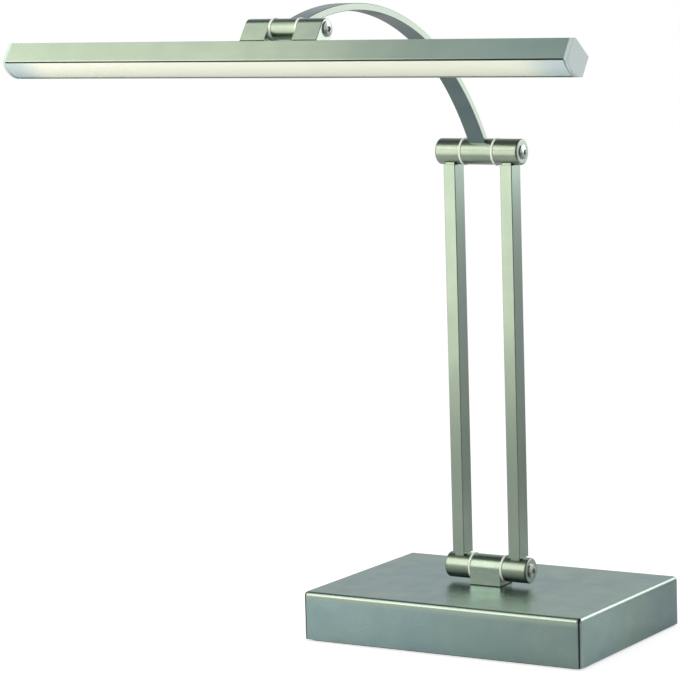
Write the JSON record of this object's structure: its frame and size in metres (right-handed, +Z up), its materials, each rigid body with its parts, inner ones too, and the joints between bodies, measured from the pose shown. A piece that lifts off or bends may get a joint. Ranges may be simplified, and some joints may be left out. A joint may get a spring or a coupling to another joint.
{
  "type": "piano lamp",
  "caption": "Piano lamp: a long LED head on an arched arm and a tube post, tilting on friction hinges above a weighted rectangular base.",
  "frame": {"origin": "centre of the base's underside, on the table, straight under the lower hinge axis", "axes": "+Z up, +X along the hinge axes and the head, -Y from the post towards the head"},
  "size_m": [0.472, 0.4011, 0.5135],
  "materials": {
    "satin_steel": "satin, fine grain, faint green-grey tone",
    "satin_aluminium": "satin anodised, faint green-grey tone",
    "pale_nylon": "smooth, pale cream",
    "screw_heads": "smooth, softly polished",
    "plain_steel": "plain zinc plated",
    "ballast_iron": "rough cast",
    "black_rubber": "matt",
    "driver_case": "moulded, matt",
    "black_plastic": "moulded",
    "button_plastic": "moulded, smooth",
    "lead_jacket": "soft jacket",
    "diffuser_cream": "frosted, cream",
    "cap_translucent": "translucent, pale grey",
    "board_white": "white solder mask",
    "led_yellow": "clear over phosphor"
  },
  "bodies": {
    "base": {"base_cover": "satin_steel", "base_plate": "plain_steel", "base_pad": "black_rubber", "base_weight": "ballast_iron", "plate_screws": "plain_steel", "weight_screws": "plain_steel", "backing_plate": "plain_steel", "hinge_block": "satin_steel", "block_screws": "plain_steel", "led_driver": "driver_case", "driver_screws": "plain_steel", "power_jack": "black_plastic", "jack_nut": "plain_steel", "switch_body": "black_plastic", "switch_nut": "plain_steel", "inlet_lead": "lead_jacket", "switch_lead": "lead_jacket", "base_lead": "lead_jacket"},
    "switch_button": {"switch_button": "button_plastic"},
    "post": {"post_tube_left": "satin_steel", "post_tube_right": "satin_steel", "lower_barrel_left": "satin_steel", "lower_barrel_right": "satin_steel", "upper_barrel_left": "satin_steel", "upper_barrel_right": "satin_steel", "lower_axle": "plain_steel", "lower_washers": "pale_nylon", "lower_cap_screws": "screw_heads", "upper_axle": "plain_steel", "upper_washers": "pale_nylon", "upper_cap_screws": "screw_heads", "tube_plugs": "satin_steel", "post_lead": "lead_jacket"},
    "arch": {"arch_knuckle_low": "satin_steel", "arch_bar": "satin_steel", "arch_knuckle_high": "satin_steel", "arch_lead": "lead_jacket"},
    "head": {"head_lug_left": "satin_aluminium", "head_lug_right": "satin_aluminium", "head_axle": "plain_steel", "head_washers": "pale_nylon", "head_cap_screws": "screw_heads", "head_housing": "satin_aluminium", "diffuser": "diffuser_cream", "end_cap_left": "cap_translucent", "end_cap_right": "cap_translucent", "lug_screws": "plain_steel", "led_board": "board_white", "led_chips": "led_yellow", "head_lead": "lead_jacket"}
  },
  "joints": [
    {"name": "post_tilt", "type": "hinge", "parent": "base", "child": "post", "pos_m": [0, 0, 0.0541], "axis": [1, 0, 0], "range_deg": [-35, 35]},
    {"name": "arch_tilt", "type": "hinge", "parent": "post", "child": "arch", "pos_m": [0, 0, 0.3901], "axis": [1, 0, 0], "range_deg": [-60, 35]},
    {"name": "head_tilt", "type": "hinge", "parent": "arch", "child": "head", "pos_m": [0, -0.2808, 0.4973], "axis": [1, 0, 0], "range_deg": [-50, 60]},
    {"name": "switch_press", "type": "slide", "parent": "base", "child": "switch_button", "axis": [0, -1, 0], "range_m": [0, 0.003], "stiffness_N_per_m": 500}
  ]
}
